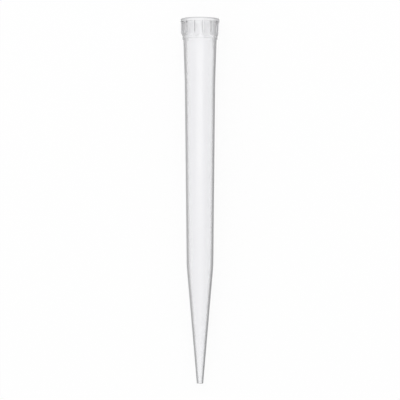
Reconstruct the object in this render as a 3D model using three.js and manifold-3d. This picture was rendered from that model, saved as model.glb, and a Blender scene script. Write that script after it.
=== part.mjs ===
// Macro pipette tip for a 5 mL air-displacement pipette. It is one injection-moulded piece of
// natural polypropylene: a rim and a ribbed collar at the head, a tapered socket that grips the
// pipette's nozzle, a long thin barrel, and a slender end cone down to the orifice.
//
// Millimetres, +Z up. The tip lies on its side, as it comes to rest on a bench: on the edge of its
// rim and on its shoulder, head towards +Y. The origin is on the bench, under the tip's middle.

import * as THREE from 'three';
import { mergeVertices } from 'three/addons/utils/BufferGeometryUtils.js';
import Module from 'manifold-3d';

const wasm = await Module();
wasm.setup();

// Lengths along the axis
const tipLength = 150;
const seatDepth = 26.3; // from the rim's face to the small end of the socket
const endConeLength = 48.2; // from the shoulder to the orifice
const collarLength = 8.4; // from the rim's face to the ledge under the collar
const rimThickness = 1.35;
const finLength = 4.25; // a fin's full height, from under the rim
const finRunout = 1.7; // the slope that lets a fin down to the collar
const leadInDepth = 0.6;

// The bore, which the nozzle and the liquid set
const mouthDiameter = 12.7;
const seatDiameter = 10.95;
const shoulderBore = 9.35;
const orificeDiameter = 1.5;
const leadInWidth = 0.4;

// Thicknesses around the bore
const barrelWall = 0.8;
const orificeWall = 0.55;
const collarWall = 0.85; // at the mouth
const rimOverhang = 0.8; // the rim beyond the collar
const finSetback = 0.1; // the fins' crests inside the rim's edge

// Fins and rounded edges
const finCount = 12;
const finWidth = 0.8;
const rimEdgeRadius = 0.3;
const shoulderRadius = 40;
const orificeEdgeRadius = 0.2;

// Fineness of the faceted surface. A fin stands on the middle of a facet.
const facetsPerFin = 4;
const facets = finCount * facetsPerFin;
const edgeSteps = 4;

// Worked out from the sizes above: a place on the axis is a depth below the rim's face
const shoulderDepth = tipLength - endConeLength;
const mouthRadius = mouthDiameter / 2;
const seatRadius = seatDiameter / 2;
const orificeRadius = orificeDiameter / 2;
const collarRadius = mouthRadius + collarWall;
const rimRadius = collarRadius + rimOverhang;
const finRadius = rimRadius - finSetback;

// The socket is one straight cone from the mouth to the small end of the seat.
function socketRadius(depth) {
  return THREE.MathUtils.lerp(mouthRadius, seatRadius, depth / seatDepth);
}

// A point of the half section: x is the radius, and y is 0 at the rim's face, negative below it.
function at(radius, depth) {
  return new THREE.Vector2(radius, -depth);
}

// The arc that rounds a corner of the section, from its first leg to its second.
function roundedCorner(before, corner, after, radius) {
  const firstLeg = before.clone().sub(corner);
  const secondLeg = after.clone().sub(corner);
  const halfAngle = Math.abs(firstLeg.angleTo(secondLeg)) / 2;
  const shortLeg = Math.min(firstLeg.length(), secondLeg.length());
  const setback = Math.min(radius / Math.tan(halfAngle), shortLeg);
  const start = firstLeg.setLength(setback).add(corner);
  const end = secondLeg.setLength(setback).add(corner);
  const centre = start.clone().add(end).multiplyScalar(0.5).sub(corner);
  centre.setLength(setback / Math.cos(halfAngle)).add(corner);

  const from = start.clone().sub(centre);
  const turn = Math.PI - 2 * halfAngle;
  const sense = Math.sign(from.cross(end.clone().sub(centre)));
  const points = [];
  for (let step = 0; step <= edgeSteps; step += 1) {
    const angle = (sense * turn * step) / edgeSteps;
    points.push(start.clone().rotateAround(centre, angle));
  }
  return points;
}

// The outside of the shell, from the mouth down to the orifice.
function outsideOutline() {
  const mouthEdge = at(mouthRadius + leadInWidth, 0);
  const rimEdge = at(rimRadius, 0);
  const rimUnderside = at(rimRadius, rimThickness);
  const neckTop = at(socketRadius(collarLength) + barrelWall, collarLength);
  const barrelTop = at(seatRadius + barrelWall, seatDepth);
  const shoulder = at(shoulderBore / 2 + barrelWall, shoulderDepth);
  const orificeEdge = at(orificeRadius + orificeWall, tipLength);
  const orifice = at(orificeRadius, tipLength);
  return [
    mouthEdge,
    ...roundedCorner(mouthEdge, rimEdge, rimUnderside, rimEdgeRadius),
    rimUnderside,
    at(collarRadius, rimThickness),
    at(collarRadius, collarLength),
    neckTop,
    barrelTop,
    ...roundedCorner(barrelTop, shoulder, orificeEdge, shoulderRadius),
    ...roundedCorner(shoulder, orificeEdge, orifice, orificeEdgeRadius),
  ];
}

// The bore, from the orifice back up to the mouth's lead-in.
function boreOutline() {
  const orifice = at(orificeRadius, tipLength);
  const shoulder = at(shoulderBore / 2, shoulderDepth);
  const seatEnd = at(seatRadius, seatDepth);
  return [
    orifice,
    ...roundedCorner(orifice, shoulder, seatEnd, shoulderRadius - barrelWall),
    seatEnd,
    at(socketRadius(leadInDepth), leadInDepth),
  ];
}

// A closed geometry, welded by position, as a solid that can be joined to another.
function solidFrom(geometry) {
  geometry.deleteAttribute('normal');
  geometry.deleteAttribute('uv');
  const welded = mergeVertices(geometry);
  const vertProperties = new Float32Array(welded.attributes.position.array);
  const triVerts = new Uint32Array(welded.index.array);
  return new wasm.Manifold(new wasm.Mesh({ numProp: 3, vertProperties, triVerts }));
}

function geometryFrom(solid) {
  const { vertProperties, triVerts } = solid.getMesh();
  const geometry = new THREE.BufferGeometry();
  geometry.setAttribute('position', new THREE.BufferAttribute(vertProperties, 3));
  geometry.setIndex(new THREE.BufferAttribute(triVerts, 1));
  geometry.computeVertexNormals();
  return geometry;
}

// The shell without its fins, turned about Y. A facet, not an edge, faces straight down.
function shellSolid() {
  const outline = [...outsideOutline(), ...boreOutline()];
  outline.push(outline[0].clone());
  outline.reverse();
  return solidFrom(new THREE.LatheGeometry(outline, facets, Math.PI / facets));
}

// One fin, standing out towards +Z from the middle of the collar's wall. Its section lies in
// the plane of the radius and the axis, and is extruded across the fin's width.
function finGeometry() {
  const root = (collarRadius + socketRadius(collarLength)) / 2;
  const top = -rimThickness / 2;
  const runoutTop = -(rimThickness + finLength);
  const runoutEnd = runoutTop - finRunout;
  const section = new THREE.Shape();
  section.moveTo(root, top);
  section.lineTo(root, runoutEnd);
  section.lineTo(collarRadius, runoutEnd);
  section.lineTo(finRadius, runoutTop);
  section.lineTo(finRadius, top);
  section.closePath();
  const fin = new THREE.ExtrudeGeometry(section, { depth: finWidth, bevelEnabled: false });
  fin.translate(0, 0, -finWidth / 2);
  fin.rotateY(-Math.PI / 2);
  return fin;
}

// The fins stand evenly round the collar, with a gap and not a fin straight above and below.
function finAngle(index) {
  return ((index + 0.5) * 2 * Math.PI) / finCount;
}

function naturalPolypropylene() {
  return new THREE.MeshStandardMaterial({
    color: 0xf1f2f3,
    roughness: 0.35,
    metalness: 0,
    transparent: true,
    opacity: 0.6,
  });
}

function pipetteTip() {
  let body = shellSolid();
  for (let index = 0; index < finCount; index += 1) {
    body = body.add(solidFrom(finGeometry().rotateY(finAngle(index))));
  }
  const tip = new THREE.Mesh(geometryFrom(body), naturalPolypropylene());
  tip.name = 'pipette_tip';
  return tip;
}

// Lying down, the tip pivots on the lower edge of its rim until the barrel's outline meets the
// bench, which it does at the shoulder. The axis then falls towards the orifice by this angle.
function restAngle() {
  const pivot = at(rimRadius, rimThickness);
  const below = outsideOutline().filter((point) => point.y < pivot.y);
  const slopes = below.map((point) => (pivot.x - point.x) / (pivot.y - point.y));
  return Math.atan(Math.min(...slopes) * Math.cos(Math.PI / facets));
}

const lyingTip = new THREE.Group();
lyingTip.add(pipetteTip());
lyingTip.rotation.x = restAngle();

const reach = new THREE.Box3().setFromObject(lyingTip, true);
const middle = reach.getCenter(new THREE.Vector3());
lyingTip.position.set(-middle.x, -middle.y, -reach.min.z);

const model = new THREE.Group();
model.add(lyingTip);

export default model;
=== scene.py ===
import math

import bmesh
import bpy
from mathutils import Matrix, Vector


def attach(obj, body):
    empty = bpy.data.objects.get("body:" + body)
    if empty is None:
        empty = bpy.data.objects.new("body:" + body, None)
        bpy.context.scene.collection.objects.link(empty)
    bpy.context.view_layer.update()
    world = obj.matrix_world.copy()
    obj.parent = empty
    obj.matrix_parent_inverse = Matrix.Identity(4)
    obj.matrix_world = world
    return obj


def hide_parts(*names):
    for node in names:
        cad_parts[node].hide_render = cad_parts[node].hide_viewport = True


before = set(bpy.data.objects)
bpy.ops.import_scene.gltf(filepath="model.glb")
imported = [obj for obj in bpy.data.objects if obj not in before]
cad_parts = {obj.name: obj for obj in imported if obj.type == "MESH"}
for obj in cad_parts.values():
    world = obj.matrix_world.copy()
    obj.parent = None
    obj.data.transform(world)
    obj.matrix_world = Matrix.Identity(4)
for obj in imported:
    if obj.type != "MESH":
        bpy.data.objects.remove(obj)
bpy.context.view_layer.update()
MM = 0.001

# ------------------------------------------------------------------------------------------
# The tip's shell. A pipette tip is one injection-moulded piece of natural polypropylene, with
# the same section all the way round. Places along it are depths below the rim's face, in mm.
# ------------------------------------------------------------------------------------------

tip_length = 150.0
seat_depth = 26.3             # where the nozzle's socket ends
end_cone_length = 48.2
collar_length = 8.4
rim_thickness = 1.35

mouth_radius = 6.35
seat_radius = 5.475
shoulder_bore_radius = 4.675
orifice_radius = 0.75

barrel_wall = 0.8
orifice_wall = 0.55
collar_wall = 0.85            # at the mouth
rim_overhang = 0.8            # the rim beyond the collar
collar_radius = mouth_radius + collar_wall
rim_radius = collar_radius + rim_overhang
shoulder_radius = shoulder_bore_radius + barrel_wall
shoulder_depth = tip_length - end_cone_length

lead_in = 0.4                 # the round edge of the mouth, which guides the nozzle in
rim_top_round = 0.3
rim_lower_round = 0.1
rim_root_round = 0.25         # between the rim's underside and the collar
ledge_round = 0.03
seat_round = 60.0             # both walls bend gently where the socket ends
shoulder_round = 40.0
orifice_round = 0.2
orifice_bore_round = 0.08


def socket_radius(depth):
    """The socket is one straight cone from the mouth down to the small end of the seat."""
    return mouth_radius + (seat_radius - mouth_radius) * depth / seat_depth


def rounded_outline(corners, steps=4, hold=0.05):
    """Points through (radius, depth, fillet) corners. Each fillet is an arc, with a short facet
    at either end that keeps its turn out of the shading of the long facets beside it."""
    points = []
    earlier, later = corners[-1:] + corners[:-1], corners[1:] + corners[:1]
    for before, corner, after in zip(earlier, corners, later):
        middle, fillet = Vector(corner[:2]), corner[2]
        if not fillet:
            points.append(middle)
            continue
        first_leg = (Vector(before[:2]) - middle).normalized()
        second_leg = (Vector(after[:2]) - middle).normalized()
        half_angle = first_leg.angle(second_leg) / 2
        start = first_leg * fillet / math.tan(half_angle)
        centre = (first_leg + second_leg).normalized() * fillet / math.sin(half_angle)
        turn = (math.pi - 2 * half_angle) * math.copysign(1, first_leg.cross(second_leg))
        arc = [
            centre + Matrix.Rotation(-turn * step / steps, 2) @ (start - centre)
            for step in range(steps + 1)
        ]
        arc = [start + first_leg * hold, *arc, arc[-1] + second_leg * hold]
        points += [middle + spoke for spoke in arc]
    return points


# ------------------------------------------------------------------------------------------
# The collar's fins. Twelve thin ribs stiffen the collar under the rim; each one's crest slopes
# down to the collar at its lower end, and its root and edges are rounded by the mould.
# ------------------------------------------------------------------------------------------

fin_count = 12
fin_half_width = 0.4
fin_draft = 0.09              # a fin is this much wider at its root, on each side
fin_fillet = 0.12             # along its root and its edges
fin_setback = 0.1             # its crest inside the rim's edge
fin_length = 4.25             # its full height, from under the rim
fin_runout = 1.7              # the slope that lets it down to the collar
crest_round = 1.0             # at either end of that slope

fin_radius = rim_radius - fin_setback
fin_end = rim_thickness + fin_length
fin_crest = rounded_outline([
    (fin_radius, rim_thickness / 2, 0),
    (fin_radius, fin_end, crest_round),
    (collar_radius, fin_end + fin_runout, crest_round),
    (collar_radius, collar_length, 0),
])


def fin_height(base, depth):
    """How far a fin stands out of a surface of radius base at that depth."""
    for upper, lower in zip(fin_crest, fin_crest[1:]):
        if upper.y <= depth <= lower.y and lower.y > upper.y:
            crest = upper.x + (lower.x - upper.x) * (depth - upper.y) / (lower.y - upper.y)
            return max(crest - base, 0)
    return 0


def sector_columns(fillet_steps=4, gap_steps=9, flat_share=0.35):
    """(angle, share of the fin's height) of each column, from the middle of one gap, across a
    fin, to the middle of the next. One more stands at flat_share of the crest's half width."""
    rise = fin_fillet / (fin_radius - collar_radius)
    quarter_turns = [math.pi / 2 * step / fillet_steps for step in range(fillet_steps + 1)]
    half = [(0.0, 1.0), (fin_half_width * flat_share, 1.0)]
    for turn in quarter_turns:
        across = fin_half_width - fin_fillet + fin_fillet * math.sin(turn)
        half.append((across, 1 - rise * (1 - math.cos(turn))))
    for turn in quarter_turns:
        across = fin_half_width + fin_draft + fin_fillet * (1 - math.cos(turn))
        half.append((across, rise * (1 - math.sin(turn))))
    columns = [(math.asin(across / collar_radius), share) for across, share in half]
    root, gap_middle = columns[-1][0], math.pi / fin_count
    for step in range(1, gap_steps + 1):
        columns.append((root + (gap_middle - root) * step / gap_steps, 0.0))
    return [(-angle, share) for angle, share in reversed(columns[1:])] + columns


def sector_mesh():
    """One fin's share of the shell: a closed section, swept from gap to gap across the fin."""
    neck_radius = socket_radius(collar_length) + barrel_wall
    collar_stations = [(collar_radius, point.y, 0) for point in fin_crest[1:-1]]
    section = rounded_outline([
        (mouth_radius, 0, lead_in),
        (rim_radius, 0, rim_top_round),
        (rim_radius, rim_thickness, rim_lower_round),
        (collar_radius, rim_thickness, rim_root_round),
        *collar_stations,
        (collar_radius, collar_length, ledge_round),
        (neck_radius, collar_length, ledge_round),
        (seat_radius + barrel_wall, seat_depth, seat_round),
        (shoulder_radius, shoulder_depth, shoulder_round),
        (orifice_radius + orifice_wall, tip_length, orifice_round),
        (orifice_radius, tip_length, orifice_bore_round),
        (shoulder_bore_radius, shoulder_depth, shoulder_round - barrel_wall),
        (seat_radius, seat_depth, seat_round),
    ])
    rings = []
    for point in section:
        height = fin_height(point.x, point.y) if point.x > neck_radius else 0
        rings.append((point.x, height, point.y))

    sector = bmesh.new()
    bore_mark = sector.faces.layers.bool.new("bore")
    grid = []
    for base, height, depth in rings:
        row = []
        for angle, share in sector_columns():
            across = base * math.sin(angle)
            out = math.sqrt((base + height * share) ** 2 - across ** 2)
            row.append(sector.verts.new(Vector((across, -depth, out)) * MM))
        grid.append(row)
    # The section turns from the outside to the bore at its deepest ring, the orifice.
    bore_starts = max(range(len(rings)), key=lambda ring: rings[ring][2])
    for ring, (upper, lower) in enumerate(zip(grid, grid[1:] + grid[:1])):
        for index in range(len(upper) - 1):
            corners = (upper[index], lower[index], lower[index + 1], upper[index + 1])
            sector.faces.new(corners)[bore_mark] = ring > bore_starts
    mesh = bpy.data.meshes.new("tip_sector")
    sector.to_mesh(mesh)
    sector.free()
    return mesh


def add_node(tree, kind, settings=None, inputs=None):
    """Adds a node with its settings. An input is a value, or another node's output to link."""
    node = tree.nodes.new(kind)
    for name, value in (settings or {}).items():
        setattr(node, name, value)
    for name, value in (inputs or {}).items():
        if isinstance(value, bpy.types.NodeSocket):
            tree.links.new(value, node.inputs[name])
        else:
            node.inputs[name].default_value = value
    return node


def turned_copies_tree():
    """Repeats the sector round the tip's axis, Y, and welds the copies into one closed shell."""
    tree = bpy.data.node_groups.new("turned_copies", "GeometryNodeTree")
    for name, kind, way in (
        ("Sector", "NodeSocketGeometry", "INPUT"),
        ("Copies", "NodeSocketInt", "INPUT"),
        ("First turn", "NodeSocketFloat", "INPUT"),
        ("Weld distance", "NodeSocketFloat", "INPUT"),
        ("Outside finish", "NodeSocketMaterial", "INPUT"),
        ("Bore finish", "NodeSocketMaterial", "INPUT"),
        ("Shell", "NodeSocketGeometry", "OUTPUT"),
    ):
        tree.interface.new_socket(name=name, in_out=way, socket_type=kind)
    given = add_node(tree, "NodeGroupInput").outputs
    seeds = add_node(tree, "GeometryNodePoints", inputs={"Count": given["Copies"]})
    index = add_node(tree, "GeometryNodeInputIndex")
    step = add_node(
        tree, "ShaderNodeMath", {"operation": "DIVIDE"},
        {0: math.tau, 1: given["Copies"]},
    )
    turn = add_node(
        tree, "ShaderNodeMath", {"operation": "MULTIPLY_ADD"},
        {0: index.outputs[0], 1: step.outputs[0], 2: given["First turn"]},
    )
    turned = add_node(tree, "ShaderNodeCombineXYZ", inputs={"Y": turn.outputs[0]})
    rotation = add_node(tree, "FunctionNodeEulerToRotation", inputs={"Euler": turned.outputs[0]})
    copies = add_node(tree, "GeometryNodeInstanceOnPoints", inputs={
        "Points": seeds.outputs[0],
        "Instance": given["Sector"],
        "Rotation": rotation.outputs[0],
    })
    joined = add_node(
        tree, "GeometryNodeRealizeInstances", inputs={"Geometry": copies.outputs[0]}
    )
    welded = add_node(tree, "GeometryNodeMergeByDistance", inputs={
        "Geometry": joined.outputs[0],
        "Distance": given["Weld distance"],
    })
    smooth = add_node(
        tree, "GeometryNodeSetShadeSmooth", inputs={"Geometry": welded.outputs[0]}
    )
    outside = add_node(tree, "GeometryNodeSetMaterial", inputs={
        "Geometry": smooth.outputs[0],
        "Material": given["Outside finish"],
    })
    bore = add_node(
        tree, "GeometryNodeInputNamedAttribute", {"data_type": "BOOLEAN"}, {"Name": "bore"}
    )
    finished = add_node(tree, "GeometryNodeSetMaterial", inputs={
        "Geometry": outside.outputs[0],
        "Selection": bore.outputs[0],
        "Material": given["Bore finish"],
    })
    add_node(tree, "NodeGroupOutput", inputs={"Shell": finished.outputs[0]})
    return tree


def set_inputs(modifier, values):
    """Sets a modifier's named inputs by the identifiers of their sockets."""
    for item in modifier.node_group.interface.items_tree:
        if item.in_out == "INPUT" and item.name in values:
            modifier[item.identifier] = values[item.name]


# ------------------------------------------------------------------------------------------
# The plastic: natural polypropylene, just as the mould leaves it. The clear share lets the bench
# show through; the milky share, crystal haze with painted shade in its grey, darkens its edges.
# ------------------------------------------------------------------------------------------

wall_ior = 1.49
flow_width = 3 * MM           # the melt's flow marks, which run along the tip
flow_length = 30 * MM
flow_relief = 0.003 * MM
collar_finish_and_shade = (15.0, 6.0)   # depths in mm: the collar's own finish and its paler painted shade begin, and are full
rim_shade_depths = (2.7, 1.7)       # the same for the rim's own painted shade


def linear(hex_colour):
    """A colour written as sRGB hex, as the linear values that a shader takes."""
    parts = [int(hex_colour[i:i + 2], 16) / 255 for i in (1, 3, 5)]
    return [p / 12.92 if p <= 0.04045 else ((p + 0.055) / 1.055) ** 2.4 for p in parts] + [1]


def empty_material(name):
    """A new material whose tree has no nodes yet."""
    material = bpy.data.materials.new(name)
    material.use_nodes = True
    material.node_tree.nodes.clear()
    return material


def share_along(tree, place, first_depth, last_depth):
    """How far a point lies from one depth to another, from 0 to 1. Y is 0 halfway along."""
    along = add_node(tree, "ShaderNodeSeparateXYZ", inputs={"Vector": place}).outputs["Y"]
    share = add_node(tree, "ShaderNodeMapRange", inputs={
        "Value": along,
        "From Min": (tip_length / 2 - first_depth) * MM,
        "From Max": (tip_length / 2 - last_depth) * MM,
    })
    return share.outputs[0]


def moulded_surface(tree, place, barrel_roughness, collar_change):
    """The roughness and relief of a surface that the melt has flowed along and set against."""
    flow = add_node(tree, "ShaderNodeMapping", inputs={
        "Vector": place, "Scale": (1, flow_width / flow_length, 1),
    })
    marks = add_node(tree, "ShaderNodeTexNoise", inputs={
        "Vector": flow.outputs[0], "Scale": 1 / flow_width, "Detail": 3.0,
    })
    barrel = add_node(tree, "ShaderNodeMapRange", inputs={
        "Value": marks.outputs[0], "To Min": barrel_roughness[0], "To Max": barrel_roughness[1],
    })
    roughness = add_node(
        tree, "ShaderNodeMath", {"operation": "MULTIPLY_ADD"},
        {0: share_along(tree, place, *collar_finish_and_shade), 1: collar_change, 2: barrel.outputs[0]},
    )
    relief = add_node(
        tree, "ShaderNodeBump", inputs={"Height": marks.outputs[0], "Distance": flow_relief}
    )
    return roughness.outputs[0], relief.outputs[0]


haze_and_shade_facing = (0.305, 0.655)    # 0 is square to the eye, 1 edge-on: the haze and painted shade begin, and are full
collar_thickening = 0.145     # what the collar's thick wall adds to that
orifice_thickening = 0.32     # and the small orifice
narrowing_power = 5.0         # which keeps it to the end cone
collar_paler = 0.47           # the share of haze and painted edge shade that the collar's edges lose
rim_paler = 0.22              # and the rim's edges lose besides
rim_haze_and_shade = 0.06               # the haze and painted shade that show all over the rim


def satin_polypropylene():
    """Polypropylene moulded against a satin cavity, spark-textured at the collar. Highlights
    are soft, and where the eye looks along the wall its haze and a painted shade grey the edge."""
    material = empty_material("satin_polypropylene")
    tree = material.node_tree
    place = add_node(tree, "ShaderNodeTexCoord").outputs["Object"]
    roughness, relief = moulded_surface(
        tree, place, barrel_roughness=(0.12, 0.16), collar_change=0.16
    )
    clear = add_node(tree, "ShaderNodeBsdfPrincipled", inputs={
        "Base Color": linear("#fefeff"),
        "Roughness": roughness,
        "IOR": wall_ior,
        "Transmission Weight": 1.0,
        "Normal": relief,
    })
    # The milky share's grey base colour is painted shade as well as haze: mixed in edge-on, it
    # darkens the edges.
    hazy_shaded_bsdf = add_node(tree, "ShaderNodeBsdfPrincipled", inputs={
        "Base Color": linear("#bebec0"),
        "Roughness": roughness,
        "IOR": wall_ior,
        "Normal": relief,
    })

    # How much plastic the eye looks along: more where the wall turns away from it, in the thick
    # collar, and towards the orifice, where the wall takes up more of the tip's width.
    edge_on = add_node(tree, "ShaderNodeLayerWeight", inputs={"Blend": 0.5}).outputs["Facing"]
    collar = share_along(tree, place, *collar_finish_and_shade)
    in_collar = add_node(
        tree, "ShaderNodeMath", {"operation": "MULTIPLY_ADD"},
        {0: collar, 1: collar_thickening, 2: edge_on},
    )
    narrowing = add_node(
        tree, "ShaderNodeMath", {"operation": "POWER"},
        {0: share_along(tree, place, 0, tip_length), 1: narrowing_power},
    )
    looked_along = add_node(
        tree, "ShaderNodeMath", {"operation": "MULTIPLY_ADD"},
        {0: narrowing.outputs[0], 1: orifice_thickening, 2: in_collar.outputs[0]},
    )

    # The painted edge shade is kept paler at the collar's edges, and paler still at the rim's.
    collar_haze_and_shade = add_node(
        tree, "ShaderNodeMath", {"operation": "MULTIPLY_ADD"},
        {0: collar, 1: -collar_paler, 2: 1.0},
    )
    rim = share_along(tree, place, *rim_shade_depths)
    edge_haze_and_shade = add_node(
        tree, "ShaderNodeMath", {"operation": "MULTIPLY_ADD"},
        {0: rim, 1: -rim_paler, 2: collar_haze_and_shade.outputs[0]},
    )
    edge = add_node(tree, "ShaderNodeMapRange", {"interpolation_type": "SMOOTHSTEP"}, {
        "Value": looked_along.outputs[0],
        "From Min": haze_and_shade_facing[0],
        "From Max": haze_and_shade_facing[1],
        "To Max": edge_haze_and_shade.outputs[0],
    })
    # Over the rim, a little haze and painted shade is mixed in all over.
    haze_and_shade = add_node(
        tree, "ShaderNodeMath", {"operation": "MULTIPLY_ADD", "use_clamp": True},
        {0: rim, 1: rim_haze_and_shade, 2: edge.outputs[0]},
    )
    wall = add_node(tree, "ShaderNodeMixShader", inputs={
        0: haze_and_shade.outputs[0], 1: clear.outputs[0], 2: hazy_shaded_bsdf.outputs[0],
    })
    add_node(tree, "ShaderNodeOutputMaterial", inputs={"Surface": wall.outputs[0]})
    return material


def core_drawn_polypropylene():
    """Polypropylene drawn off the mould's long core pin, which is polished where the nozzle
    seats. It is duller than the outside, so what shows through both walls is an even blur."""
    material = empty_material("core_drawn_polypropylene")
    tree = material.node_tree
    place = add_node(tree, "ShaderNodeTexCoord").outputs["Object"]
    roughness, relief = moulded_surface(
        tree, place, barrel_roughness=(0.23, 0.27), collar_change=-0.14
    )
    clear = add_node(tree, "ShaderNodeBsdfPrincipled", inputs={
        "Base Color": linear("#fefeff"),
        "Roughness": roughness,
        "IOR": wall_ior,
        "Transmission Weight": 1.0,
        "Normal": relief,
    })
    add_node(tree, "ShaderNodeOutputMaterial", inputs={"Surface": clear.outputs[0]})
    return material


# ------------------------------------------------------------------------------------------
# The finished tip, lying as it comes to rest on a bench: on the lower edge of its rim and on
# its shoulder, head towards +Y. Its axis falls by the rest angle from head to orifice.
# ------------------------------------------------------------------------------------------

rest_angle = math.atan2(rim_radius - shoulder_radius, shoulder_depth - rim_thickness)
weld_distance = 0.001 * MM

pattern = bpy.data.objects.new("tip_pattern", sector_mesh())
bpy.context.scene.collection.objects.link(pattern)
repeat = pattern.modifiers.new("repeat", "NODES")
repeat.node_group = turned_copies_tree()
set_inputs(repeat, {
    "Copies": fin_count,
    "First turn": math.pi / fin_count,
    "Weld distance": weld_distance,
    "Outside finish": satin_polypropylene(),
    "Bore finish": core_drawn_polypropylene(),
})
shell_mesh = bpy.data.meshes.new_from_object(
    pattern.evaluated_get(bpy.context.evaluated_depsgraph_get())
)
bpy.data.objects.remove(pattern)

shell_mesh.attributes.remove(shell_mesh.attributes["bore"])
shell_mesh.name = "tip_shell"
shell_mesh.transform(Matrix.Rotation(rest_angle, 4, "X"))
points = [vertex.co for vertex in shell_mesh.vertices]
middle = (min(point.y for point in points) + max(point.y for point in points)) / 2
to_bench = Vector((0, -middle, -min(point.z for point in points)))
shell_mesh.transform(Matrix.Translation(to_bench))

tip = bpy.data.objects.new("tip_shell", shell_mesh)
bpy.context.scene.collection.objects.link(tip)
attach(tip, "root")
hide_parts("pipette_tip")

# ------------------------------------------------------------------------------------------
# The bench: plain white paper, wide enough that no view looks past it. It glows to the eye, also
# in and through the plastic, but lights nothing, and it keeps the tip's shadow.
# ------------------------------------------------------------------------------------------

bench_reach = 4.0
paper_white = 0.92            # its glow to the eye

bench_mesh = bpy.data.meshes.new("bench")
bench_corners = [
    (x * bench_reach, y * bench_reach, 0) for x, y in ((-1, -1), (1, -1), (1, 1), (-1, 1))
]
bench_mesh.from_pydata(bench_corners, [], [(0, 1, 2, 3)])
bench = bpy.data.objects.new("bench", bench_mesh)
bpy.context.scene.collection.objects.link(bench)
paper = empty_material("white_paper")
tree = paper.node_tree
rays = add_node(tree, "ShaderNodeLightPath").outputs
seen = rays["Is Camera Ray"]
for ray in ("Is Transmission Ray", "Is Glossy Ray"):
    either = add_node(tree, "ShaderNodeMath", {"operation": "MAXIMUM"}, {0: seen, 1: rays[ray]})
    seen = either.outputs[0]
lift = add_node(tree, "ShaderNodeMath", {"operation": "MULTIPLY"}, {0: seen, 1: paper_white})
glow = add_node(tree, "ShaderNodeEmission", inputs={"Strength": lift.outputs[0]})
sheet = add_node(tree, "ShaderNodeBsdfDiffuse", inputs={"Color": linear("#555555")})
both = add_node(tree, "ShaderNodeAddShader", inputs={0: glow.outputs[0], 1: sheet.outputs[0]})
add_node(tree, "ShaderNodeOutputMaterial", inputs={"Surface": both.outputs[0]})
bench_mesh.materials.append(paper)

# ------------------------------------------------------------------------------------------
# The light: a soft sky that dims towards +X, and one softbox that leaves a pale streak along the
# barrel. The dimmer side gives the shell a darker flank.
# ------------------------------------------------------------------------------------------

bright_sky, dim_sky = 0.96, 0.67
dims_from = -0.2              # the X of the directions where it begins to dim
softbox_width, softbox_length = 0.62, 0.6
softbox_place = (0.0, 0.32, 0.7)
softbox_power = 0.91          # watts

world = bpy.data.worlds.new("studio")
bpy.context.scene.world = world
world.use_nodes = True
tree = world.node_tree
tree.nodes.clear()
direction = add_node(tree, "ShaderNodeTexCoord").outputs["Generated"]
aside = add_node(tree, "ShaderNodeSeparateXYZ", inputs={"Vector": direction}).outputs["X"]
sky = add_node(
    tree, "ShaderNodeMapRange", {"interpolation_type": "SMOOTHSTEP"},
    {"Value": aside, "From Min": dims_from, "To Min": bright_sky, "To Max": dim_sky},
)
air = add_node(tree, "ShaderNodeBackground", inputs={"Strength": sky.outputs[0]})
add_node(tree, "ShaderNodeOutputWorld", inputs={"Surface": air.outputs[0]})

softbox = bpy.data.lights.new("softbox", "AREA")
softbox.shape = "RECTANGLE"
softbox.size, softbox.size_y = softbox_width, softbox_length
softbox.energy = softbox_power
lamp = bpy.data.objects.new("softbox", softbox)
lamp.location = softbox_place
bpy.context.scene.collection.objects.link(lamp)

bpy.context.scene.view_settings.view_transform = "Standard"

# ------------------------------------------------------------------------------------------
# The camera looks down on the lying tip through a long lens. It stands a few degrees off
# square, towards the orifice and to the right.
# ------------------------------------------------------------------------------------------

view_width = 164.15 * MM
camera_distance = 1.6
lean_to_orifice = math.radians(4.6)
lean_right = math.radians(4.8)
aim_depth = 74.74             # the point of the axis in the middle of the picture

lie = Matrix.Rotation(rest_angle, 3, "X")
to_head = lie @ Vector((0, 1, 0))
square = lie @ Vector((math.sin(lean_right), 0, math.cos(lean_right)))
back = square * math.cos(lean_to_orifice) - to_head * math.sin(lean_to_orifice)
upward = (to_head - back * to_head.dot(back)).normalized()
sideways = upward.cross(back)
aim = lie @ Vector((0, -aim_depth, 0)) * MM + to_bench
camera = bpy.data.objects.new("camera", bpy.data.cameras.new("camera"))
camera.matrix_world = Matrix.Translation(aim + back * camera_distance) @ Matrix(
    (sideways, upward, back)
).transposed().to_4x4()
camera.data.sensor_width = 36.0
camera.data.lens = camera.data.sensor_width * camera_distance / view_width
camera.data.clip_end = 20
bpy.context.scene.collection.objects.link(camera)
bpy.context.scene.camera = camera
